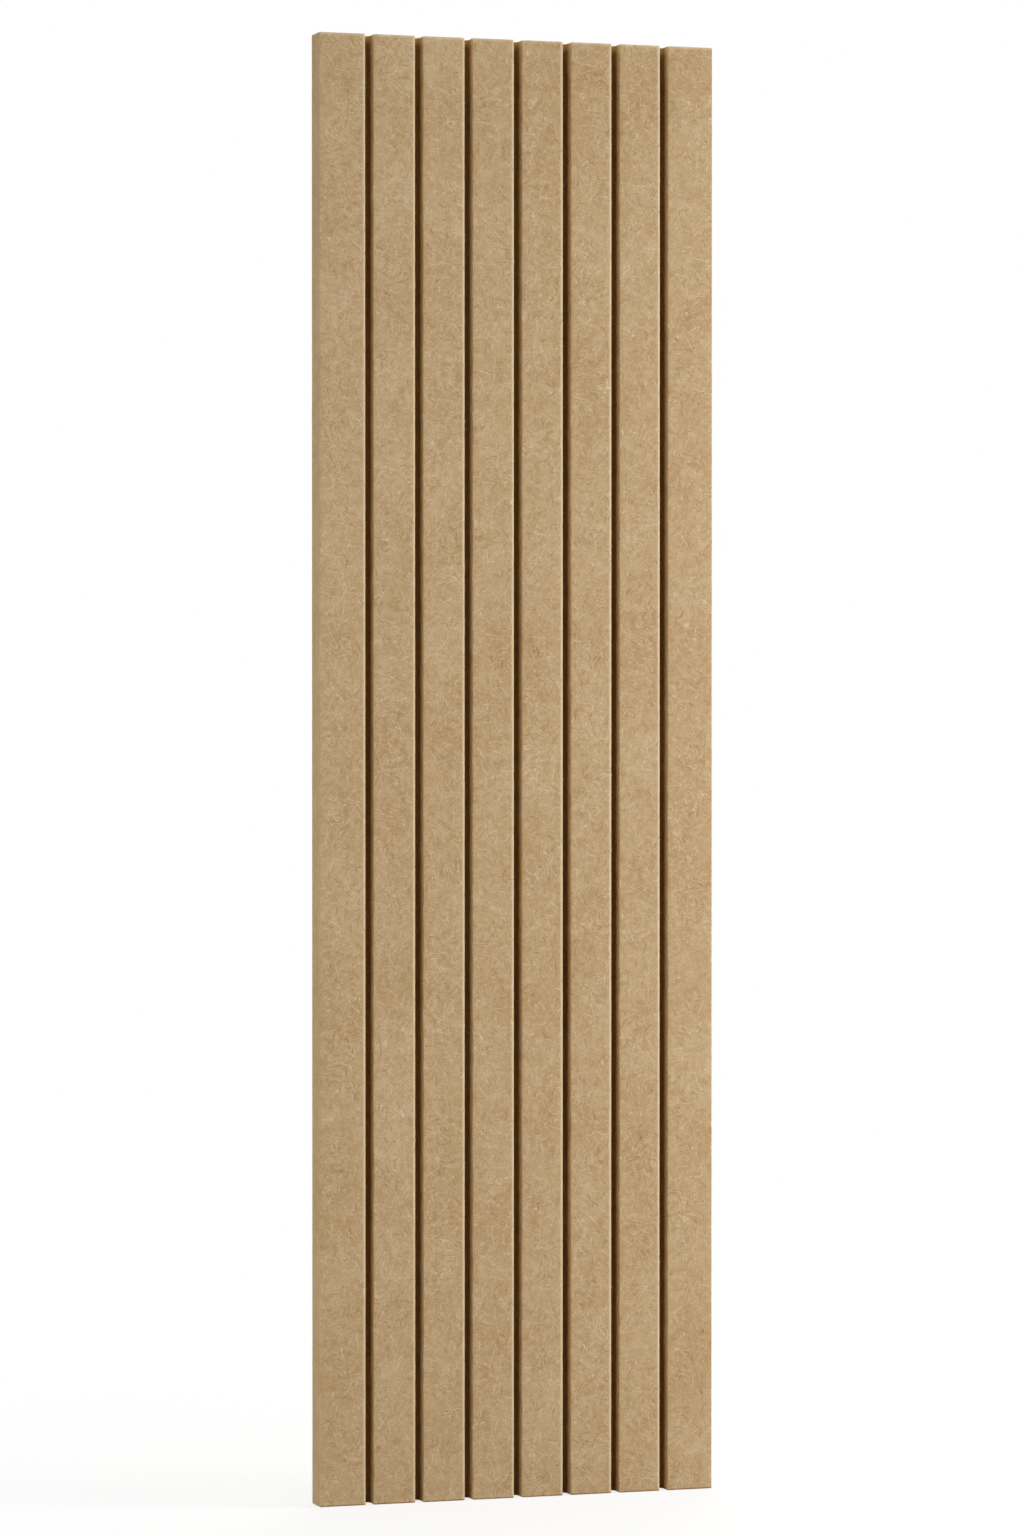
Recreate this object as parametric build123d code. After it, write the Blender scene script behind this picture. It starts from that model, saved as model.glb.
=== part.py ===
from build123d import *
import os

# Ribbed acoustic panel: one thick felt board with upright, round-bottomed grooves cut into its face.
# Millimetres. The origin is the middle of the flat back, +Z is up and the grooved face looks along -Y.

# Board
board_height = 1200
board_width = 340
board_thickness = 24

# Grooves, evenly spaced, which leave a row of flat ribs between them
rib_count = 8
groove_width = 7
groove_depth = 15

# Soft edges
upright_edge_radius = 1.2  # along both mouths of every groove and the board's own corners
end_edge_radius = 0.8  # round the cut at the head and at the foot

# Places worked out from the sizes above
rib_pitch = board_width / rib_count
groove_count = rib_count - 1
face_y = -board_thickness
foot_z = -board_height / 2

# Plain board, soft round both cut ends
with BuildPart() as plain_board:
    with Locations((0, face_y / 2, 0)):
        Box(board_width, board_thickness, board_height)
    edges_by_height = plain_board.edges().group_by(Axis.Z)
    fillet(edges_by_height[0] + edges_by_height[-1], end_edge_radius)

# Section of the ribs, with a round-bottomed groove between each two
with BuildSketch(Plane.XY.offset(foot_z)) as ribbed_section:
    with Locations((0, face_y / 2)):
        Rectangle(board_width, board_thickness)
    with Locations((0, face_y)):
        with GridLocations(rib_pitch, 0, groove_count, 1):
            SlotOverall(2 * groove_depth, groove_width, rotation=90, mode=Mode.SUBTRACT)
    points_by_depth = ribbed_section.vertices().group_by(Axis.Y)
    fillet(points_by_depth[0] + points_by_depth[-1], upright_edge_radius)

# The grooves run the whole height, so they are open at the head and the foot
with BuildPart() as grooved_panel:
    extrude(ribbed_section.sketch, amount=board_height)
    add(plain_board.part, mode=Mode.INTERSECT)

grooved_panel.part.label = "grooved_panel"

os.makedirs("parts", exist_ok=True)
export_step(grooved_panel.part, "parts/grooved_panel.step")
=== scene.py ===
import math

import bmesh
import bpy
import numpy as np
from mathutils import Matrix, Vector


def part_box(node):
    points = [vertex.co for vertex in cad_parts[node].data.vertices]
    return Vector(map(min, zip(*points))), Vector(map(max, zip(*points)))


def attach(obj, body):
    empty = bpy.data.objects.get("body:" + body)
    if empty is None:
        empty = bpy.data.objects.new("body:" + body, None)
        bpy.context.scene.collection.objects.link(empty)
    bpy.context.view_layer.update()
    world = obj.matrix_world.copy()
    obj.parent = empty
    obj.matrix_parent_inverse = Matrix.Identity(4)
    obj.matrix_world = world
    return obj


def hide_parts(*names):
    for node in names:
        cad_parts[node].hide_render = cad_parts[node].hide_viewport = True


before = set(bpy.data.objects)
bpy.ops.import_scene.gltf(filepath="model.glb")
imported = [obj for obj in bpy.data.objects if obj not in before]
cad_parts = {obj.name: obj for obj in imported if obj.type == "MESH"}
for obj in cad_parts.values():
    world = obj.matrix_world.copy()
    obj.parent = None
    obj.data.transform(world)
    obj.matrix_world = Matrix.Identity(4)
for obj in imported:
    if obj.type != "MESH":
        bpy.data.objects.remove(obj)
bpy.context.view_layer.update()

panelLow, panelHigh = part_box("grooved_panel")
panelMiddle = (panelLow + panelHigh) / 2
ribCount = 8
ribPitch = (panelHigh.x - panelLow.x) / ribCount
print("frame loaded, panel", [round(side, 4) for side in panelHigh - panelLow])


def tone(red, green, blue):
    # a colour as read off a screen, 0 to 255, turned into the linear values that sockets take
    levels = [part / 255 for part in (red, green, blue)]
    linear = [v / 12.92 if v <= 0.04045 else ((v + 0.055) / 1.055) ** 2.4 for v in levels]
    return (*linear, 1)


def put(tree, kind, feeds=None, **settings):
    # one node, with its settings, and a link or a plain value for each input named in feeds
    node = tree.nodes.new(kind)
    for name, value in settings.items():
        setattr(node, name, value)
    for socket, feed in (feeds or {}).items():
        if isinstance(feed, bpy.types.NodeSocket):
            tree.links.new(feed, node.inputs[socket])
        else:
            node.inputs[socket].default_value = feed
    return node


def sumUp(tree, operation, first, second):
    return put(tree, "ShaderNodeMath", {0: first, 1: second}, operation=operation).outputs[0]


def along(tree, operation, first, second):
    return put(tree, "ShaderNodeVectorMath", {0: first, 1: second}, operation=operation)


def span(tree, value, low, high, toLow=0.0, toHigh=1.0):
    feeds = {0: value, 1: low, 2: high, 3: toLow, 4: toHigh}
    return put(tree, "ShaderNodeMapRange", feeds, interpolation_type="SMOOTHSTEP").outputs[0]


def blendColour(tree, share, under, over):
    return put(tree, "ShaderNodeMix", {0: share, 6: under, 7: over}, data_type="RGBA").outputs[2]


# Camera, at the angle and distance that the perspective of the board's edges gives
viewSet = {
    "azimuth": -18.245,  # degrees to the left of straight on
    "elevation": 0.658,
    "distance": 4.3977,
    "aim": (-0.0016, -0.012, 0.0015),
    "lens": 124.91,
    "sensor": 36.0,  # the long, upright side of the frame
}


def placeCamera(s):
    data = bpy.data.cameras.new("viewCamera")
    data.lens = s["lens"]
    data.sensor_width = s["sensor"]
    side, lift = math.radians(s["azimuth"]), math.radians(s["elevation"])
    back = Vector((math.sin(side) * math.cos(lift), -math.cos(side) * math.cos(lift), math.sin(lift)))
    camera = bpy.data.objects.new("viewCamera", data)
    camera.location = Vector(s["aim"]) + back * s["distance"]
    camera.rotation_euler = (-back).to_track_quat("-Z", "Y").to_euler()
    bpy.context.scene.collection.objects.link(camera)
    bpy.context.scene.camera = camera


# Studio: a tall soft lamp raking in from the right, a wide one and a narrow strip at the left, fills for the
# head, the top and the back, and a pale floor
studioSet = {
    "roomLevel": 0.12,
    "lamps": {
        "rightRake": {"from": (1.12, -0.5, 0.15), "size": (0.45, 1.5), "power": 16.0},
        "leftWindow": {"from": (-2.25, -2.5, -0.1), "size": (1.2, 1.8), "power": 46.0},
        "leftStrip": {"from": (-1.7, -0.35, -0.25), "size": (0.4, 1.5), "power": 10.5},
        "headFill": {"from": (0.0, -1.4, 1.5), "size": (1.5, 0.6), "power": 6.2},
        "topFill": {"from": (0.0, 0.1, 2.0), "size": (1.2, 0.5), "power": 14.0},
        "backFill": {"from": (0.9, 2.2, 0.5), "size": (1.5, 1.8), "power": 48.0},
    },
    "floorSide": 14.0,
    "floorTone": (226, 225, 223),
    "floorGlow": 0.78,  # what the camera sees on top of the floor's own shading, close to the panel
    "floorShade": 0.3,
    "shadeReach": (0.2, 0.9),  # from where to where the shading fades into plain white
}


def unlitRays(tree):
    # 1 for rays that look straight at the background, or at it in a reflection or through glass
    path = tree.nodes.new("ShaderNodeLightPath").outputs
    mirrored = sumUp(tree, "MAXIMUM", path["Is Glossy Ray"], path["Is Transmission Ray"])
    return sumUp(tree, "MAXIMUM", path["Is Camera Ray"], mirrored)


def lightRoom(s):
    world = bpy.data.worlds.new("evenRoom")
    world.use_nodes = True
    tree = world.node_tree
    tree.nodes.clear()
    room = put(tree, "ShaderNodeBackground", {"Color": (1, 1, 1, 1), "Strength": s["roomLevel"]})
    white = put(tree, "ShaderNodeBackground", {"Color": (1, 1, 1, 1), "Strength": 1.0})
    feeds = {0: unlitRays(tree), 1: room.outputs[0], 2: white.outputs[0]}
    shown = put(tree, "ShaderNodeMixShader", feeds)
    put(tree, "ShaderNodeOutputWorld", {"Surface": shown.outputs[0]})
    bpy.context.scene.world = world
    for name, lamp in s["lamps"].items():
        data = bpy.data.lights.new(name, "AREA")
        data.shape = "RECTANGLE"
        data.size, data.size_y = lamp["size"]
        data.energy = lamp["power"]
        light = bpy.data.objects.new(name, data)
        light.location = lamp["from"]
        light.rotation_euler = (panelMiddle - light.location).to_track_quat("-Z", "Y").to_euler()
        bpy.context.scene.collection.objects.link(light)


def layFloor(s):
    material = bpy.data.materials.new("paleFloor")
    material.use_nodes = True
    tree = material.node_tree
    tree.nodes.clear()
    pale = tone(*s["floorTone"])
    matt = put(tree, "ShaderNodeBsdfDiffuse", {"Color": pale})
    dim = put(tree, "ShaderNodeBsdfDiffuse", {"Color": [part * s["floorShade"] for part in pale[:3]] + [1]})
    glow = put(tree, "ShaderNodeEmission", {"Strength": s["floorGlow"]})
    lit = put(tree, "ShaderNodeAddShader", {0: dim.outputs[0], 1: glow.outputs[0]})
    white = put(tree, "ShaderNodeEmission", {"Strength": 1.0})
    spot = tree.nodes.new("ShaderNodeTexCoord").outputs["Object"]
    reach = along(tree, "DISTANCE", spot, (panelMiddle.x, panelMiddle.y, panelLow.z)).outputs["Value"]
    feeds = {0: span(tree, reach, *s["shadeReach"]), 1: lit.outputs[0], 2: white.outputs[0]}
    faded = put(tree, "ShaderNodeMixShader", feeds)
    shown = put(tree, "ShaderNodeMixShader", {0: unlitRays(tree), 1: matt.outputs[0], 2: faded.outputs[0]})
    put(tree, "ShaderNodeOutputMaterial", {"Surface": shown.outputs[0]})
    half = s["floorSide"] / 2
    corners = [(-half, -half), (half, -half), (half, half), (-half, half)]
    mesh = bpy.data.meshes.new("paleFloor")
    mesh.from_pydata([(x, y, panelLow.z) for x, y in corners], [], [(0, 1, 2, 3)])
    mesh.materials.append(material)
    floor = bpy.data.objects.new("paleFloor", mesh)
    bpy.context.scene.collection.objects.link(floor)


placeCamera(viewSet)
lightRoom(studioSet)
layFloor(studioSet)
bpy.context.scene.view_settings.view_transform = "Standard"
print("camera, lamps and floor placed")


# Felt: needled fibres of one dyed blend, lighter and darker in patches, with strands showing on top
feltSet = {
    "rib": {"deep": (151, 112, 53), "pale": (208, 186, 152), "strands": 0.55, "pits": 0.4, "sheen": 0.08},
    "highlight": {"deep": (190, 163, 122), "pale": (234, 215, 182)},  # tone of the painted highlights along the right edge of each rib and along the head
    "cut": {"deep": (160, 128, 84), "pale": (204, 177, 139), "strands": 0.12, "pits": 0.12, "sheen": 0.1},
    "wall": {"deep": (158, 116, 55), "pale": (212, 182, 135), "strands": 0.3, "pits": 0.4, "sheen": 0.0},
    "strand": (226, 206, 177),
    "pit": (128, 90, 40),
    "groove": {"deep": (112, 74, 27), "pale": (166, 127, 70)},  # painted shade on the walls deep in the grooves
    "grooveHighlight": {"deep": (196, 146, 76), "pale": (240, 202, 140)},  # painted highlight on the walls near the head, where light falls into the grooves from above
    "grooveShadeFrom": 0.0045,  # depths below the face between which the painted shade darkens the walls
    "grooveShadeTo": 0.0145,
    "edgeHighlightFrom": 0.0049,  # the painted highlight fades out between these distances to the left of a groove's middle
    "edgeHighlightTo": 0.0063,
    "edgeHighlightRagged": 0.003,
    # painted light along the ends, a highlight at the head and in the grooves near it and shade at the foot:
    # how near the end it is full, how far off it is gone, and its largest share
    "headHighlight": (0.0004, 0.0028, 0.65),
    "footShade": (0.0006, 0.0016, 0.75),
    "grooveHeadHighlight": (0.0005, 0.008, 1.0),
    "patchScale": 13.0,  # per metre, so patches about 75 mm across
    "strandScale": 170.0,
    "roughness": 0.92,
    "specular": 0.1,
    "sheenRoughness": 0.5,
    "reliefStrength": 0.6,
    "reliefDepth": 0.0005,
}

# Mottle: clouds sized in multiples of the patch or strand scale, each from its own place in the noise
mottleSet = {
    "wide": {"times": 1.0, "detail": 3.0},
    "clumps": {"times": 7.0, "detail": 3.0, "roughness": 0.6, "shift": 3.1},
    "fluff": {"times": 1.6, "detail": 3.0, "roughness": 0.7, "distortion": 0.6, "shift": 7.7},
    "grain": {"times": 6.0, "detail": 1.0, "shift": 5.3},
    "levels": {"times": 0.26, "detail": 1.0, "distortion": 1.0, "shift": 29.0},
    "whorlLines": 52.0,  # how close the lines of a whorl lie
    "matting": {"times": 0.2, "shift": 37.0},
    "mattedFrom": 0.4,  # between these the whorls grow from faint to strong
    "mattedTo": 0.62,
    "fineThreads": {"times": 1.5, "width": 0.035, "shift": 11.0, "cover": 0.48},
    "longThreads": {"times": 0.7, "width": 0.02, "shift": 17.0, "cover": 0.5},
    "pits": {"times": 1.1, "width": 0.03, "shift": 23.0, "cover": 0.54},
    "threadWarp": 1.3,
    "gaps": {"times": 0.8, "shift": 2.0, "fade": 0.1},  # breaks in a thread, beside its own size and place
    "toneShares": {"wide": 0.4, "clumps": 0.52, "fluff": 0.42, "grain": 0.5, "whorls": 0.17},
    "reliefShares": {"fluff": 0.5, "grain": 0.3, "strands": 0.35, "whorls": 0.3},
}


def feltMottle(s):
    # shared by all finishes: Tone is the mottle about 0.5, Strands and Pits are masks, Relief is for bump
    group = bpy.data.node_groups.new("feltMottle", "ShaderNodeTree")
    group.interface.new_socket("Vector", in_out="INPUT", socket_type="NodeSocketVector")
    for name in ("Patch Scale", "Strand Scale"):
        group.interface.new_socket(name, in_out="INPUT", socket_type="NodeSocketFloat")
    for name in ("Tone", "Strands", "Pits", "Relief"):
        group.interface.new_socket(name, in_out="OUTPUT", socket_type="NodeSocketFloat")
    given = group.nodes.new("NodeGroupInput").outputs

    def cloud(scale, times, detail=2.0, roughness=0.5, distortion=0.0, shift=0.0):
        moved = along(group, "ADD", given["Vector"], (shift, shift, shift)).outputs[0]
        feeds = {
            "Vector": moved,
            "Scale": sumUp(group, "MULTIPLY", scale, times),
            "Detail": detail,
            "Roughness": roughness,
            "Distortion": distortion,
        }
        return put(group, "ShaderNodeTexNoise", feeds).outputs[0]

    patch, strand = given["Patch Scale"], given["Strand Scale"]

    def threads(times, width, shift, cover):
        # thin curly lines where a warped cloud crosses its middle, broken up by a second cloud
        warped = cloud(strand, times, detail=1.0, distortion=s["threadWarp"], shift=shift)
        offMiddle = sumUp(group, "ABSOLUTE", sumUp(group, "SUBTRACT", warped, 0.5), 0.0)
        line = span(group, offMiddle, 0.0, width, 1.0, 0.0)
        gaps = s["gaps"]
        breaker = cloud(strand, times * gaps["times"], shift=shift + gaps["shift"])
        kept = span(group, breaker, cover, cover + gaps["fade"])
        return sumUp(group, "MULTIPLY", line, kept)

    # whorls of matted fibre: close lines that follow the levels of a slow cloud, strong here and faint there
    levels = cloud(strand, **s["levels"])
    lines = sumUp(group, "SINE", sumUp(group, "MULTIPLY", levels, s["whorlLines"]), 0.0)
    matted = span(group, cloud(strand, **s["matting"]), s["mattedFrom"], s["mattedTo"])
    feeds = {0: sumUp(group, "MULTIPLY", lines, matted), 1: 0.5, 2: 0.5}  # -1 to 1 brought to 0 to 1
    whorls = put(group, "ShaderNodeMath", feeds, operation="MULTIPLY_ADD").outputs[0]

    strands = sumUp(group, "MAXIMUM", threads(**s["fineThreads"]), threads(**s["longThreads"]))
    parts = {
        "wide": cloud(patch, **s["wide"]),
        "clumps": cloud(patch, **s["clumps"]),
        "fluff": cloud(strand, **s["fluff"]),
        "grain": cloud(strand, **s["grain"]),
        "strands": strands,
        "whorls": whorls,
    }

    def weigh(shares):
        total = 0.5
        for part, share in shares.items():
            centred = sumUp(group, "SUBTRACT", parts[part], 0.5)
            total = sumUp(group, "ADD", sumUp(group, "MULTIPLY", centred, share), total)
        return total

    feeds = {
        "Tone": weigh(s["toneShares"]),
        "Strands": strands,
        "Pits": threads(**s["pits"]),
        "Relief": weigh(s["reliefShares"]),
    }
    put(group, "NodeGroupOutput", feeds)
    return group


mottleGroup = feltMottle(mottleSet)


def mottleOn(tree, s):
    place = tree.nodes.new("ShaderNodeTexCoord").outputs["Object"]
    felt = tree.nodes.new("ShaderNodeGroup")
    felt.node_tree = mottleGroup
    tree.links.new(place, felt.inputs["Vector"])
    felt.inputs["Patch Scale"].default_value = s["patchScale"]
    felt.inputs["Strand Scale"].default_value = s["strandScale"]
    return felt.outputs, place


def paintedEdgeHighlight(tree, s, place, felt):
    # painted highlight: 1 on the right edge of every rib that has a groove beside it, 0 elsewhere, with a
    # ragged border
    fromLeft = sumUp(tree, "SUBTRACT", place["X"], panelLow.x)
    ribShare = sumUp(tree, "FRACT", sumUp(tree, "DIVIDE", fromLeft, ribPitch), 0.0)
    short = sumUp(tree, "MULTIPLY", sumUp(tree, "SUBTRACT", 1.0, ribShare), ribPitch)
    ragged = sumUp(tree, "MULTIPLY", sumUp(tree, "SUBTRACT", felt["Tone"], 0.5), s["edgeHighlightRagged"])
    near = span(tree, sumUp(tree, "ADD", short, ragged), s["edgeHighlightFrom"], s["edgeHighlightTo"], 1.0, 0.0)
    onFront = sumUp(tree, "LESS_THAN", place["Y"], panelMiddle.y)
    between = sumUp(tree, "LESS_THAN", place["X"], panelHigh.x - ribPitch / 2)
    return sumUp(tree, "MULTIPLY", near, sumUp(tree, "MULTIPLY", onFront, between))


def endPaintedLight(tree, place, end, full, none, share):
    # share of painted light along the head or the foot, by the distance from it
    off = sumUp(tree, "ABSOLUTE", sumUp(tree, "SUBTRACT", place["Z"], end), 0.0)
    return span(tree, off, full, none, share, 0.0)


def feltTone(tree, felt, look):
    return blendColour(tree, felt["Tone"], tone(*look["deep"]), tone(*look["pale"]))


def feltFinish(name, s, kind, paintedGrooveLight=False, paintedLight=False):
    material = bpy.data.materials.new(name)
    material.use_nodes = True
    tree = material.node_tree
    look = s[kind]
    strandTone, pitTone = tone(*s["strand"]), tone(*s["pit"])
    felt, spot = mottleOn(tree, s)
    place = put(tree, "ShaderNodeSeparateXYZ", {0: spot}).outputs
    colour = feltTone(tree, felt, look)
    if paintedLight:
        # painted light: a highlight along the right edge of each rib and along the head, and painted shade
        # along the foot
        highlightTone = feltTone(tree, felt, s["highlight"])
        colour = blendColour(tree, paintedEdgeHighlight(tree, s, place, felt), colour, highlightTone)
        colour = blendColour(tree, endPaintedLight(tree, place, panelHigh.z, *s["headHighlight"]), colour, highlightTone)
        # painted shade along the foot, in the pit colour
        colour = blendColour(tree, endPaintedLight(tree, place, panelLow.z, *s["footShade"]), colour, pitTone)
    colour = blendColour(tree, sumUp(tree, "MULTIPLY", felt["Strands"], look["strands"]), colour, strandTone)
    colour = blendColour(tree, sumUp(tree, "MULTIPLY", felt["Pits"], look["pits"]), colour, pitTone)
    if paintedGrooveLight:
        # painted shade: the walls darken with depth into the grooves
        depth = sumUp(tree, "SUBTRACT", place["Y"], panelLow.y)
        grooveShadeShare = span(tree, depth, s["grooveShadeFrom"], s["grooveShadeTo"])
        colour = blendColour(tree, grooveShadeShare, colour, feltTone(tree, felt, s["groove"]))
        # painted highlight on the groove walls near the head
        grooveHighlightShare = endPaintedLight(tree, place, panelHigh.z, *s["grooveHeadHighlight"])
        colour = blendColour(tree, grooveHighlightShare, colour, feltTone(tree, felt, s["grooveHighlight"]))
    shader = tree.nodes["Principled BSDF"]
    tree.links.new(colour, shader.inputs["Base Color"])
    shader.inputs["Roughness"].default_value = s["roughness"]
    shader.inputs["Specular IOR Level"].default_value = s["specular"]
    shader.inputs["Sheen Weight"].default_value = look["sheen"]
    shader.inputs["Sheen Roughness"].default_value = s["sheenRoughness"]
    shader.inputs["Sheen Tint"].default_value = strandTone
    feeds = {"Height": felt["Relief"], "Strength": s["reliefStrength"], "Distance": s["reliefDepth"]}
    bump = put(tree, "ShaderNodeBump", feeds)
    tree.links.new(bump.outputs[0], shader.inputs["Normal"])
    return material


ribFelt = feltFinish("ribFelt", feltSet, "rib", paintedLight=True)
cutFelt = feltFinish("cutFelt", feltSet, "cut")
grooveFelt = feltFinish("grooveFelt", feltSet, "wall", paintedGrooveLight=True)
print("felt finishes made")


# Grooved board: one section swept from foot to head, its ends rounded and its felt a little uneven
panelSet = {
    "grooveWidth": 0.007,
    "grooveDepth": 0.015,
    "arrisRadius": 0.0012,  # the board's own corners and the right edge of each rib
    "leftArris": 0.0007,  # the left edge of each rib is cut crisper
    "endRadius": 0.0005,
    "mouthDepth": 0.0006,  # below this a groove's wall begins
    "mouthEase": 0.00025,  # the wall under a right edge leans out by this much at the mouth
    "endSteps": 3,
    "endAngle": 60.0,  # degrees, only edges sharper than this are rounded at the ends
    "endFacing": 0.5,  # a surface that looks up or down more than this has the cut finish
    "steps": {"arris": 4, "face": 9, "wall": 4, "bottom": 8, "side": 6, "back": 24},
    "rows": 260,
    "unevenness": 0.00012,
    "unevenScale": 45.0,
    "wander": 0.0015,  # the widest range over which the left edge of a rib strays
    "wanderScale": 70.0,
    "wanderFacing": (-0.2, -0.8),  # a wall that looks this far to the left begins to stray, and strays in full
}


def treeWith(name, inputs):
    tree = bpy.data.node_groups.new(name, "GeometryNodeTree")
    tree.interface.new_socket("Geometry", in_out="INPUT", socket_type="NodeSocketGeometry")
    for label, kind in inputs.items():
        tree.interface.new_socket(label, in_out="INPUT", socket_type="NodeSocket" + kind)
    tree.interface.new_socket("Geometry", in_out="OUTPUT", socket_type="NodeSocketGeometry")
    return tree, tree.nodes.new("NodeGroupInput").outputs


def closeTree(tree, shape, finish, chosen=True):
    real = put(tree, "GeometryNodeRealizeInstances", {"Geometry": shape})
    feeds = {"Geometry": real.outputs[0], "Selection": chosen, "Material": finish}
    dressed = put(tree, "GeometryNodeSetMaterial", feeds)
    put(tree, "NodeGroupOutput", {"Geometry": dressed.outputs[0]})


def runNodes(piece, tree, values):
    modifier = piece.modifiers.new(tree.name, "NODES")
    modifier.node_group = tree
    for item in tree.interface.items_tree:
        if item.in_out == "INPUT" and item.name in values:
            modifier[item.identifier] = values[item.name]


def settle(maker, name):
    # the evaluated result as a plain mesh of its own, and the maker removed
    graph = bpy.context.evaluated_depsgraph_get()
    shape = maker.evaluated_get(graph)
    mesh = bpy.data.meshes.new_from_object(shape, preserve_all_data_layers=True, depsgraph=graph)
    mesh.name = name
    bpy.data.objects.remove(maker)
    piece = bpy.data.objects.new(name, mesh)
    bpy.context.scene.collection.objects.link(piece)
    return piece


def triangleCount(mesh):
    return sum(len(face.vertices) - 2 for face in mesh.polygons)


def arc(centreX, centreY, radius, start, end, steps):
    turns = [math.radians(start + (end - start) * step / steps) for step in range(steps + 1)]
    return [(centreX + radius * math.cos(turn), centreY + radius * math.sin(turn)) for turn in turns]


def panelSection(s):
    # bends of the outline, each followed by a straight run cut into so many steps
    radius, crisp, half, steps = s["arrisRadius"], s["leftArris"], s["grooveWidth"] / 2, s["steps"]
    left, right, front, back = panelLow.x, panelHigh.x, panelLow.y, panelHigh.y
    bottom = front + s["grooveDepth"] - half
    bends = [(arc(left + radius, front + radius, radius, 180, 270, steps["arris"]), "face")]
    for groove in range(1, ribCount):
        middle = left + groove * ribPitch
        turn = middle - half - s["mouthEase"] - radius
        bends.append((arc(turn, front + radius, radius, 270, 360, steps["arris"]), "wall"))
        bends.append((arc(middle, bottom, half, 180, 0, steps["bottom"]), "wall"))
        bends.append((arc(middle + half + crisp, front + crisp, crisp, 180, 270, steps["arris"]), "face"))
    bends.append((arc(right - radius, front + radius, radius, 270, 360, steps["arris"]), "side"))
    bends.append((arc(right - radius, back - radius, radius, 0, 90, steps["arris"]), "back"))
    bends.append((arc(left + radius, back - radius, radius, 90, 180, steps["arris"]), "side"))
    outline = []
    for place, (bend, run) in enumerate(bends):
        outline += bend
        (x, y), (nextX, nextY) = bend[-1], bends[(place + 1) % len(bends)][0][0]
        for step in range(1, steps[run]):
            share = step / steps[run]
            outline.append((x + (nextX - x) * share, y + (nextY - y) * share))
    return outline


def sweptBoardTree():
    inputs = {"Foot": "Float", "Head": "Float", "Rows": "Int", "Finish": "Material"}
    tree, given = treeWith("sweptBoard", inputs)
    section = put(tree, "GeometryNodeMeshToCurve", {"Mesh": given["Geometry"]})
    foot = put(tree, "ShaderNodeCombineXYZ", {"Z": given["Foot"]})
    head = put(tree, "ShaderNodeCombineXYZ", {"Z": given["Head"]})
    upright = put(tree, "GeometryNodeCurvePrimitiveLine", {"Start": foot.outputs[0], "End": head.outputs[0]})
    rows = put(tree, "GeometryNodeResampleCurve", {"Curve": upright.outputs[0], "Count": given["Rows"]})
    feeds = {"Curve": rows.outputs[0], "Profile Curve": section.outputs[0], "Fill Caps": True}
    board = put(tree, "GeometryNodeCurveToMesh", feeds)
    closeTree(tree, board.outputs[0], given["Finish"])
    return tree


def unevenFeltTree(s):
    inputs = {
        "Unevenness": "Float",
        "Uneven Scale": "Float",
        "Wander": "Float",
        "Wander Scale": "Float",
        "Mouth": "Float",
        "Bottom": "Float",
        "Side": "Float",
        "Rib Finish": "Material",
        "Wall Finish": "Material",
        "Cut Finish": "Material",
    }
    tree, given = treeWith("unevenFelt", inputs)
    normal = tree.nodes.new("GeometryNodeInputNormal").outputs[0]
    swell = put(tree, "ShaderNodeTexNoise", {"Scale": given["Uneven Scale"], "Detail": 2.0}).outputs[0]
    height = sumUp(tree, "MULTIPLY", sumUp(tree, "SUBTRACT", swell, 0.5), given["Unevenness"])
    lift = put(tree, "ShaderNodeVectorMath", {0: normal, "Scale": height}, operation="SCALE").outputs[0]
    # only walls that look to the left stray, which are the left edges of the ribs
    looks = put(tree, "ShaderNodeSeparateXYZ", {0: normal}).outputs
    spot = tree.nodes.new("GeometryNodeInputPosition").outputs[0]
    place = put(tree, "ShaderNodeSeparateXYZ", {0: spot}).outputs
    offMiddle = sumUp(tree, "ABSOLUTE", place["X"], 0.0)
    inner = sumUp(tree, "LESS_THAN", offMiddle, given["Side"])
    facing = sumUp(tree, "MULTIPLY", span(tree, looks["X"], *s["wanderFacing"]), inner)
    stray = put(tree, "ShaderNodeTexNoise", {"Scale": given["Wander Scale"], "Detail": 3.0}).outputs[0]
    shove = sumUp(tree, "MULTIPLY", sumUp(tree, "SUBTRACT", stray, 0.5), given["Wander"])
    sideways = put(tree, "ShaderNodeCombineXYZ", {"X": sumUp(tree, "MULTIPLY", shove, facing)}).outputs[0]
    both = along(tree, "ADD", lift, sideways).outputs[0]
    # the many-cornered ends are cut into triangles while they are still flat
    corners = tree.nodes.new("GeometryNodeInputMeshFaceNeighbors").outputs["Vertex Count"]
    manyCornered = sumUp(tree, "GREATER_THAN", corners, 4.0)
    feeds = {"Mesh": given["Geometry"], "Selection": manyCornered}
    flatEnds = put(tree, "GeometryNodeTriangulate", feeds)
    moved = put(tree, "GeometryNodeSetPosition", {"Geometry": flatEnds.outputs[0], "Offset": both})
    deeper = sumUp(tree, "GREATER_THAN", place["Y"], given["Mouth"])
    shallower = sumUp(tree, "LESS_THAN", place["Y"], given["Bottom"])
    outermost = sumUp(tree, "GREATER_THAN", offMiddle, given["Side"])
    onEnd = sumUp(tree, "GREATER_THAN", sumUp(tree, "ABSOLUTE", looks["Z"], 0.0), s["endFacing"])
    inGroove = sumUp(tree, "MULTIPLY", deeper, shallower)
    onCut = sumUp(tree, "MAXIMUM", onEnd, sumUp(tree, "MULTIPLY", deeper, outermost))
    dressed = moved.outputs[0]
    for chosen, finish in ((True, "Rib Finish"), (inGroove, "Wall Finish")):
        feeds = {"Geometry": dressed, "Selection": chosen, "Material": given[finish]}
        dressed = put(tree, "GeometryNodeSetMaterial", feeds).outputs[0]
    closeTree(tree, dressed, given["Cut Finish"], onCut)
    return tree


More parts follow.
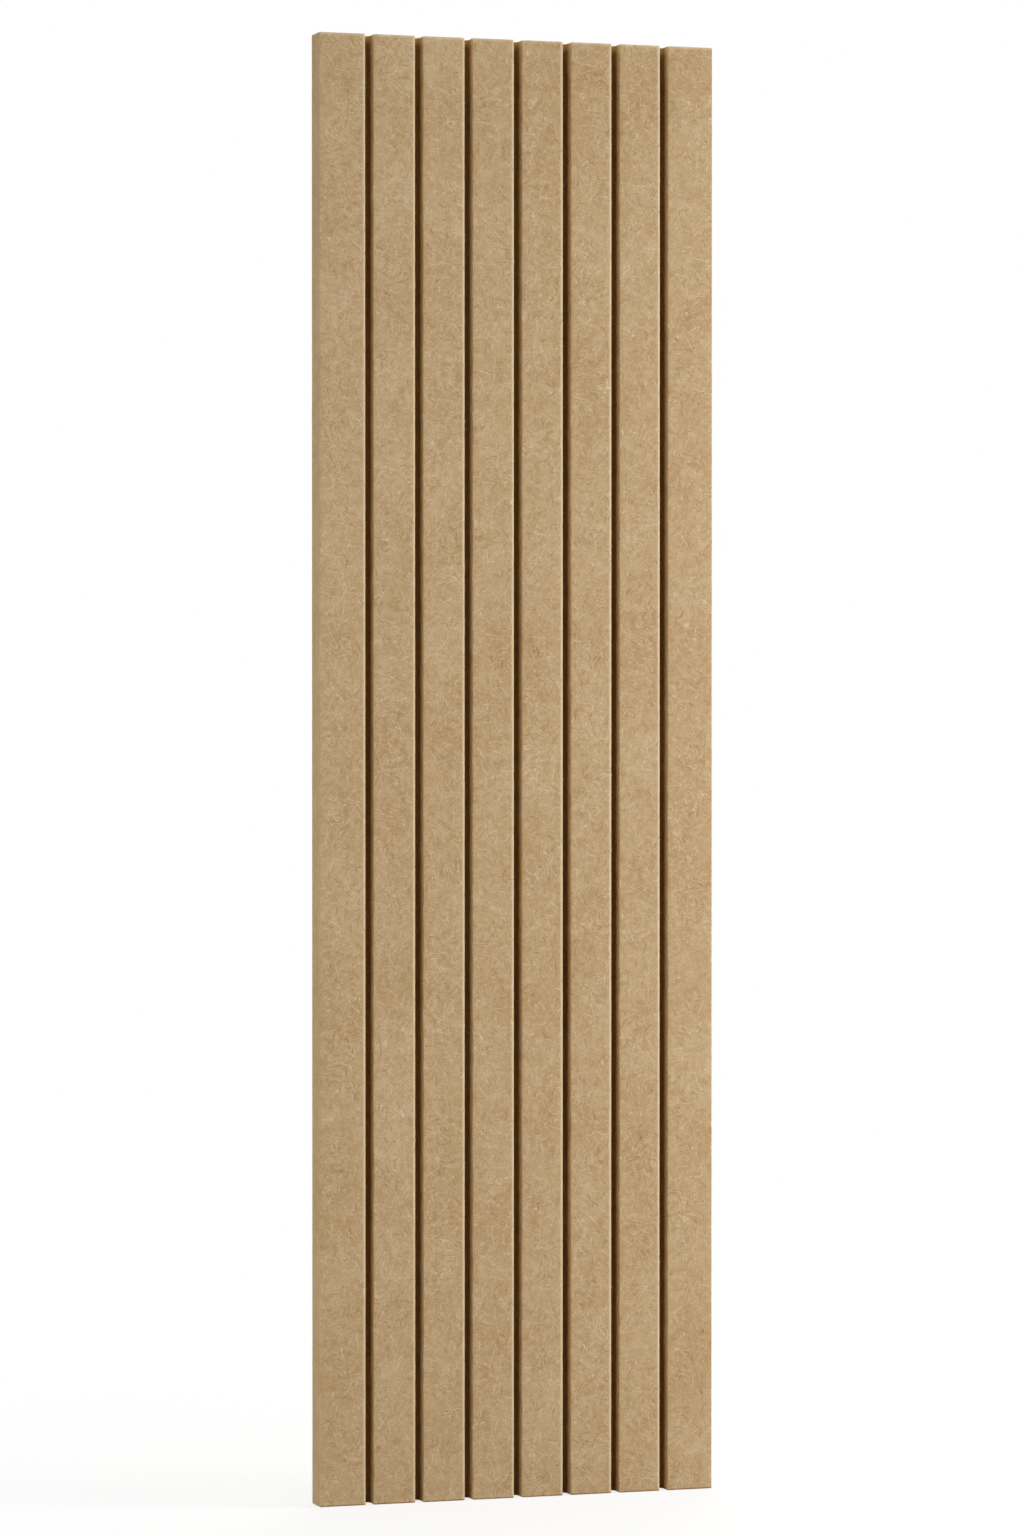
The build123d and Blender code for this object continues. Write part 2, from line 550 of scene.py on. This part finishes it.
def makePanel(s):
    outline = panelSection(s)
    count = len(outline)
    mesh = bpy.data.meshes.new("panelSection")
    mesh.from_pydata([(x, y, 0) for x, y in outline], [(i, (i + 1) % count) for i in range(count)], [])
    maker = bpy.data.objects.new("panelSection", mesh)
    bpy.context.scene.collection.objects.link(maker)
    values = {"Foot": panelLow.z, "Head": panelHigh.z, "Rows": s["rows"], "Finish": ribFelt}
    runNodes(maker, sweptBoardTree(), values)
    ends = maker.modifiers.new("roundedEnds", "BEVEL")
    ends.width = s["endRadius"]
    ends.segments = s["endSteps"]
    ends.limit_method = "ANGLE"
    ends.angle_limit = math.radians(s["endAngle"])
    ends.use_clamp_overlap = False
    values = {
        "Unevenness": s["unevenness"],
        "Uneven Scale": s["unevenScale"],
        "Wander": s["wander"],
        "Wander Scale": s["wanderScale"],
        "Mouth": panelLow.y + s["mouthDepth"],
        "Bottom": panelLow.y + s["grooveDepth"] + s["endRadius"],
        "Side": panelHigh.x - s["arrisRadius"],
        "Rib Finish": ribFelt,
        "Wall Finish": grooveFelt,
        "Cut Finish": cutFelt,
    }
    runNodes(maker, unevenFeltTree(s), values)
    piece = settle(maker, "feltPanel")
    mesh = piece.data
    shape = bmesh.new()
    shape.from_mesh(mesh)
    bmesh.ops.recalc_face_normals(shape, faces=shape.faces)
    shape.to_mesh(mesh)
    shape.free()
    points = np.array([vertex.co for vertex in mesh.vertices])
    print("panel box", points.min(0).round(4), points.max(0).round(4))
    print("panel", triangleCount(mesh), "triangles")
    mesh.shade_smooth()
    return piece


feltPanel = makePanel(panelSet)
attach(feltPanel, "root")
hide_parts("grooved_panel")
print("panel made")

# Loose fibres of the blend: short curly ones lying on every face and fine fuzz standing on the edges
fibreSet = {
    "sides": 3,
    "points": 5,  # along each fibre
    "faceZone": 0.0004,  # how near a face counts as lying on it
    "least": 0.0012,  # length of a fibre at the very mouth of a groove
    "inset": 0.004,  # no fibre starts nearer than this to the outline of its face
    "layers": {  # face, tones, count if the whole face took fibres, shortest and longest, thickness, seed
        "paleFibres": ("front", "pale", 7200, (0.003, 0.013), 0.0003, 3),
        "tanFibres": ("front", "tan", 6000, (0.003, 0.010), 0.00022, 7),
        "brownFibres": ("front", "brown", 4600, (0.002, 0.009), 0.00026, 11),
        "backFibres": ("back", "tan", 5000, (0.004, 0.012), 0.00022, 15),
        "leftFibres": ("left", "tan", 700, (0.002, 0.006), 0.0002, 19),
        "rightFibres": ("right", "tan", 700, (0.002, 0.006), 0.0002, 23),
        "headFibres": ("head", "tan", 260, (0.002, 0.005), 0.0002, 37),
        "footFibres": ("foot", "tan", 260, (0.002, 0.005), 0.0002, 41),
    },
    "lift": 0.00005,  # how far a fibre's middle stands up and its ends dip
    "curl": 0.003,
    "curlScale": 150.0,
    "roughness": 0.8,
    "specular": 0.2,
}
fuzzSet = {
    "name": "arrisFuzz",
    "sides": 3,
    "points": 3,
    "count": 11000,
    "length": (0.0003, 0.0011),
    "thickness": 0.00012,
    "tilt": 0.9,
    "curl": 0.0006,
    "curlScale": 900.0,
    "edgeZone": 0.0016,  # how near the face, back or ends a rounded edge lies
    "roundness": 0.97,  # a rounded edge looks along no axis more than this
    "tones": "tan",
    "seed": 31,
}
fibreTones = {
    "pale": ((207, 184, 150), (232, 215, 190)),
    "tan": ((172, 140, 94), (206, 180, 144)),
    "brown": ((138, 100, 50), (168, 134, 85)),
}


def fibreFinish(name, s, deep, pale):
    # each fibre has its own place in the blend, and the mottle of the felt shows through it
    material = bpy.data.materials.new(name)
    material.use_nodes = True
    tree = material.node_tree
    felt = mottleOn(tree, feltSet)[0]
    own = put(tree, "ShaderNodeAttribute", attribute_name="fibreTone").outputs["Fac"]
    share = sumUp(tree, "MULTIPLY", sumUp(tree, "ADD", own, felt["Tone"]), 0.5)
    shader = tree.nodes["Principled BSDF"]
    tree.links.new(blendColour(tree, share, tone(*deep), tone(*pale)), shader.inputs["Base Color"])
    shader.inputs["Roughness"].default_value = s["roughness"]
    shader.inputs["Specular IOR Level"].default_value = s["specular"]
    return material


def fibreShape(tree, s, first, last, thickness, bow):
    # one fibre of length 1 with a few points along it, its middle bowed up and its ends down
    line = put(tree, "GeometryNodeCurvePrimitiveLine", {"Start": (first, 0, 0), "End": (last, 0, 0)})
    cut = put(tree, "GeometryNodeResampleCurve", {"Curve": line.outputs[0], "Count": s["points"]})
    spot = tree.nodes.new("GeometryNodeInputPosition").outputs[0]
    fromMiddle = put(tree, "ShaderNodeSeparateXYZ", {0: spot}).outputs["X"]
    square = sumUp(tree, "MULTIPLY", fromMiddle, fromMiddle)
    dip = -8.0  # brings 1 at the middle to -1 at half a length from it
    bend = put(tree, "ShaderNodeMath", {0: square, 1: dip, 2: 1.0}, operation="MULTIPLY_ADD").outputs[0]
    rise = sumUp(tree, "MULTIPLY", bend, bow)
    offset = put(tree, "ShaderNodeCombineXYZ", {"Z": rise}).outputs[0]
    bowed = put(tree, "GeometryNodeSetPosition", {"Geometry": cut.outputs[0], "Offset": offset})
    ring = put(tree, "GeometryNodeCurvePrimitiveCircle", {"Resolution": s["sides"], "Radius": thickness})
    feeds = {"Curve": bowed.outputs[0], "Profile Curve": ring.outputs[0], "Fill Caps": True}
    return put(tree, "GeometryNodeCurveToMesh", feeds).outputs[0]


def scatter(tree, given, chosen, fibre, aim, stretch):
    # fibres on the chosen faces, each with a tone of its own
    feeds = {
        "Mesh": given["Geometry"],
        "Selection": chosen,
        "Density": given["Density"],
        "Seed": given["Seed"],
    }
    spots = put(tree, "GeometryNodeDistributePointsOnFaces", feeds)
    feeds = {
        "Points": spots.outputs[0],
        "Instance": fibre,
        "Rotation": aim(spots.outputs),
        "Scale": stretch,
    }
    laid = put(tree, "GeometryNodeInstanceOnPoints", feeds)
    own = put(tree, "FunctionNodeRandomValue", {2: 0.0, 3: 1.0, "Seed": given["Seed"]}).outputs[1]
    feeds = {"Geometry": laid.outputs[0], "Name": "fibreTone", "Value": own}
    toned = put(tree, "GeometryNodeStoreNamedAttribute", feeds, data_type="FLOAT", domain="INSTANCE")
    return put(tree, "GeometryNodeRealizeInstances", {"Geometry": toned.outputs[0]}).outputs[0]


def curled(tree, given, fibres):
    wave = put(tree, "ShaderNodeTexNoise", {"Scale": given["Curl Scale"], "Detail": 1.0}).outputs["Color"]
    centred = along(tree, "SUBTRACT", wave, (0.5, 0.5, 0.5)).outputs[0]
    offset = along(tree, "MULTIPLY", centred, given["Curl"]).outputs[0]
    return put(tree, "GeometryNodeSetPosition", {"Geometry": fibres, "Offset": offset}).outputs[0]


def randomLength(tree, given):
    feeds = {2: given["Shortest"], 3: given["Longest"], "Seed": given["Seed"]}
    return put(tree, "FunctionNodeRandomValue", feeds).outputs[1]


def stretched(tree, length):
    return put(tree, "ShaderNodeCombineXYZ", {"X": length, "Y": 1.0, "Z": 1.0}).outputs[0]


fibreInputs = {
    "Density": "Float",
    "Seed": "Int",
    "Shortest": "Float",
    "Longest": "Float",
    "Thickness": "Float",
    "Curl": "Vector",
    "Curl Scale": "Float",
    "Finish": "Material",
}


def lyingFibresTree(s):
    inputs = {
        "Low": "Vector",
        "High": "Vector",
        "Lift": "Float",
        "Pitch": "Float",
        "Mouth": "Float",
        "Half Width": "Float",
        "Half Height": "Float",
        "Least": "Float",
    }
    tree, given = treeWith("lyingFibres", fibreInputs | inputs)
    place = tree.nodes.new("GeometryNodeInputPosition").outputs[0]
    tests = []
    for corner, test in (("Low", "GREATER_THAN"), ("High", "LESS_THAN")):
        feeds = {4: place, 5: given[corner]}
        tests.append(put(tree, "FunctionNodeCompare", feeds, data_type="VECTOR", operation=test).outputs[0])
    inZone = put(tree, "FunctionNodeBooleanMath", {0: tests[0], 1: tests[1]}, operation="AND").outputs[0]
    radius = sumUp(tree, "MULTIPLY", given["Thickness"], 0.5)
    fibre = fibreShape(tree, s, -0.5, 0.5, radius, given["Lift"])

    def lieFlat(spot):
        turn = put(tree, "FunctionNodeRandomValue", {2: 0.0, 3: math.tau, "Seed": given["Seed"]}).outputs[1]
        spin = put(tree, "FunctionNodeAxisAngleToRotation", {"Axis": (0, 0, 1), "Angle": turn}).outputs[0]
        feeds = {"Rotation": spot["Rotation"], "Rotate By": spin}
        return put(tree, "FunctionNodeRotateRotation", feeds, rotation_space="LOCAL").outputs[0]

    # near the mouth of a groove or the outline of its face a fibre is no longer than its distance allows
    spotAt = put(tree, "ShaderNodeSeparateXYZ", {0: place}).outputs
    toEnd = sumUp(tree, "SUBTRACT", given["Half Height"], sumUp(tree, "ABSOLUTE", spotAt["Z"], 0.0))
    toSide = sumUp(tree, "SUBTRACT", given["Half Width"], sumUp(tree, "ABSOLUTE", spotAt["X"], 0.0))
    toOutline = sumUp(tree, "MINIMUM", toEnd, toSide)
    ribs = sumUp(tree, "DIVIDE", spotAt["X"], given["Pitch"])
    offWhole = sumUp(tree, "SUBTRACT", ribs, sumUp(tree, "ROUND", ribs, 0.0))
    offGroove = sumUp(tree, "MULTIPLY", sumUp(tree, "ABSOLUTE", offWhole, 0.0), given["Pitch"])
    toMouth = sumUp(tree, "SUBTRACT", offGroove, given["Mouth"])
    room = sumUp(tree, "MULTIPLY", sumUp(tree, "MINIMUM", toMouth, toOutline), 2.0)
    length = sumUp(tree, "MINIMUM", randomLength(tree, given), sumUp(tree, "MAXIMUM", room, given["Least"]))
    laid = scatter(tree, given, inZone, fibre, lieFlat, stretched(tree, length))
    closeTree(tree, curled(tree, given, laid), given["Finish"])
    return tree


def standingFuzzTree(s):
    inputs = {"Front": "Float", "Back": "Float", "End": "Float", "Roundness": "Float", "Tilt": "Float"}
    tree, given = treeWith("standingFuzz", fibreInputs | inputs)
    normal = tree.nodes.new("GeometryNodeInputNormal").outputs[0]
    lean = put(tree, "ShaderNodeVectorMath", {0: normal}, operation="ABSOLUTE").outputs[0]
    leans = put(tree, "ShaderNodeSeparateXYZ", {0: lean}).outputs
    most = sumUp(tree, "MAXIMUM", sumUp(tree, "MAXIMUM", leans["X"], leans["Y"]), leans["Z"])
    spotAt = tree.nodes.new("GeometryNodeInputPosition").outputs[0]
    place = put(tree, "ShaderNodeSeparateXYZ", {0: spotAt}).outputs
    atFront = sumUp(tree, "LESS_THAN", place["Y"], given["Front"])
    atBack = sumUp(tree, "GREATER_THAN", place["Y"], given["Back"])
    atEnd = sumUp(tree, "GREATER_THAN", sumUp(tree, "ABSOLUTE", place["Z"], 0.0), given["End"])
    outer = sumUp(tree, "MAXIMUM", sumUp(tree, "MAXIMUM", atFront, atBack), atEnd)
    onEdge = sumUp(tree, "MULTIPLY", outer, sumUp(tree, "LESS_THAN", most, given["Roundness"]))
    fibre = fibreShape(tree, s, 0.0, 1.0, sumUp(tree, "MULTIPLY", given["Thickness"], 0.5), 0.0)

    def outward(spot):
        feeds = {0: (-1, -1, -1), 1: (1, 1, 1), "Seed": given["Seed"]}
        stray = put(tree, "FunctionNodeRandomValue", feeds, data_type="FLOAT_VECTOR").outputs[0]
        feeds = {0: stray, "Scale": given["Tilt"]}
        tilted = put(tree, "ShaderNodeVectorMath", feeds, operation="SCALE").outputs[0]
        aim = along(tree, "ADD", spot["Normal"], tilted).outputs[0]
        return put(tree, "FunctionNodeAlignRotationToVector", {"Vector": aim}, axis="X").outputs[0]

    grown = scatter(tree, given, onEdge, fibre, outward, stretched(tree, randomLength(tree, given)))
    closeTree(tree, curled(tree, given, grown), given["Finish"])
    return tree


# Cells of the fibres' map: where a fibre lies in its cell, with its caps just off its two ends
cellSet = {
    "left": 0.15,  # shares of the cell
    "width": 0.7,
    "foot": 0.2,
    "height": 0.6,
    "capGap": 0.1,  # shares of that height
    "capDepth": 0.06,
}


def fibreCells(mesh, s, cell):
    # a map named OFBake with a small cell for each fibre, so that its colour bakes into a place of its own
    perFibre = s["sides"] * s["points"]
    corners = np.empty(len(mesh.loops), np.int64)
    mesh.loops.foreach_get("vertex_index", corners)
    starts = np.empty(len(mesh.polygons), np.int64)
    totals = np.empty(len(mesh.polygons), np.int64)
    mesh.polygons.foreach_get("loop_start", starts)
    mesh.polygons.foreach_get("loop_total", totals)
    fibre, spot = np.divmod(corners, perFibre)
    ring, side = np.divmod(spot, s["sides"])
    side = side.astype(float)
    face = np.repeat(np.arange(len(starts)), totals)
    widest = np.maximum.reduceat(side, starts)[face]
    narrowest = np.minimum.reduceat(side, starts)[face]
    quad = totals[face] == 4
    # the last face round a fibre closes on its first corner, which counts there as one past the last
    side[quad & (widest - narrowest > 1) & (side == 0)] = s["sides"]
    across, up = side / s["sides"], ring / (s["points"] - 1)
    cap = ~quad
    up[cap] = np.where(ring[cap] == 0, -cell["capGap"], 1 + cell["capGap"])
    up[cap] += cell["capDepth"] * (side[cap] == 1)
    grid = math.ceil(math.sqrt(fibre.max() + 1))
    placeX = fibre % grid + cell["left"] + cell["width"] * across
    placeY = fibre // grid + cell["foot"] + cell["height"] * up
    places = np.stack([placeX, placeY], 1) / grid
    mesh.uv_layers.new(name="OFBake").data.foreach_set("uv", places.ravel())


def faceZones(s):
    # boxes that take in one outer face of the panel each
    whole, near = Vector((1, 1, 1)), s["faceZone"]
    sides = panelHigh - panelLow
    zones = {}
    for name, axis, outer, sign in (
        ("front", 1, panelLow.y, -1),
        ("back", 1, panelHigh.y, 1),
        ("left", 0, panelLow.x, -1),
        ("right", 0, panelHigh.x, 1),
        ("foot", 2, panelLow.z, -1),
        ("head", 2, panelHigh.z, 1),
    ):
        low, high = panelLow + whole * s["inset"], panelHigh - whole * s["inset"]
        low[axis], high[axis] = sorted((outer - sign * near, outer + sign * near))
        area = sides[0] * sides[1] * sides[2] / sides[axis]
        flat = whole.copy()
        flat[axis] = 0
        zones[name] = (low, high, area, flat)
    return zones


def grow(name, tree, values, s):
    maker = bpy.data.objects.new(name + "Maker", feltPanel.data)
    bpy.context.scene.collection.objects.link(maker)
    runNodes(maker, tree, values)
    piece = settle(maker, name)
    fibreCells(piece.data, s, cellSet)
    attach(piece, "root")
    print(name, triangleCount(piece.data), "triangles")


finishes = {name: fibreFinish(name + "Fibre", fibreSet, *tones) for name, tones in fibreTones.items()}
lyingFibres = lyingFibresTree(fibreSet)
zones = faceZones(fibreSet)
farOff = 1.0  # metres, stands for a groove or an outline that a face doesn't have
for name, layer in fibreSet["layers"].items():
    face, tones, count, (shortest, longest), thickness, seed = layer
    low, high, area, flat = zones[face]
    values = {
        "Density": count / area,
        "Seed": seed,
        "Shortest": shortest,
        "Longest": longest,
        "Thickness": thickness,
        "Curl": flat * fibreSet["curl"],
        "Curl Scale": fibreSet["curlScale"],
        "Finish": finishes[tones],
        "Low": low,
        "High": high,
        "Lift": fibreSet["lift"],
        "Least": fibreSet["least"],
        "Pitch": ribPitch,
        "Mouth": panelSet["grooveWidth"] / 2 if face == "front" else -farOff,
        "Half Width": panelHigh.x if flat.x else farOff,
        "Half Height": panelHigh.z if flat.z else farOff,
    }
    grow(name, lyingFibres, values, fibreSet)

edgeCount = 2 * ribCount + 2  # two on the front of each rib and two at the back
edgeLength = edgeCount * (panelHigh.z - panelLow.z)
values = {
    "Density": fuzzSet["count"] / (edgeLength * panelSet["arrisRadius"] * math.pi / 2),
    "Seed": fuzzSet["seed"],
    "Shortest": fuzzSet["length"][0],
    "Longest": fuzzSet["length"][1],
    "Thickness": fuzzSet["thickness"],
    "Curl": (fuzzSet["curl"],) * 3,
    "Curl Scale": fuzzSet["curlScale"],
    "Finish": finishes[fuzzSet["tones"]],
    "Front": panelLow.y + fuzzSet["edgeZone"],
    "Back": panelHigh.y - fuzzSet["edgeZone"],
    "End": panelHigh.z - fuzzSet["edgeZone"],
    "Roundness": fuzzSet["roundness"],
    "Tilt": fuzzSet["tilt"],
}
grow(fuzzSet["name"], standingFuzzTree(fuzzSet), values, fuzzSet)
print("fibres grown")
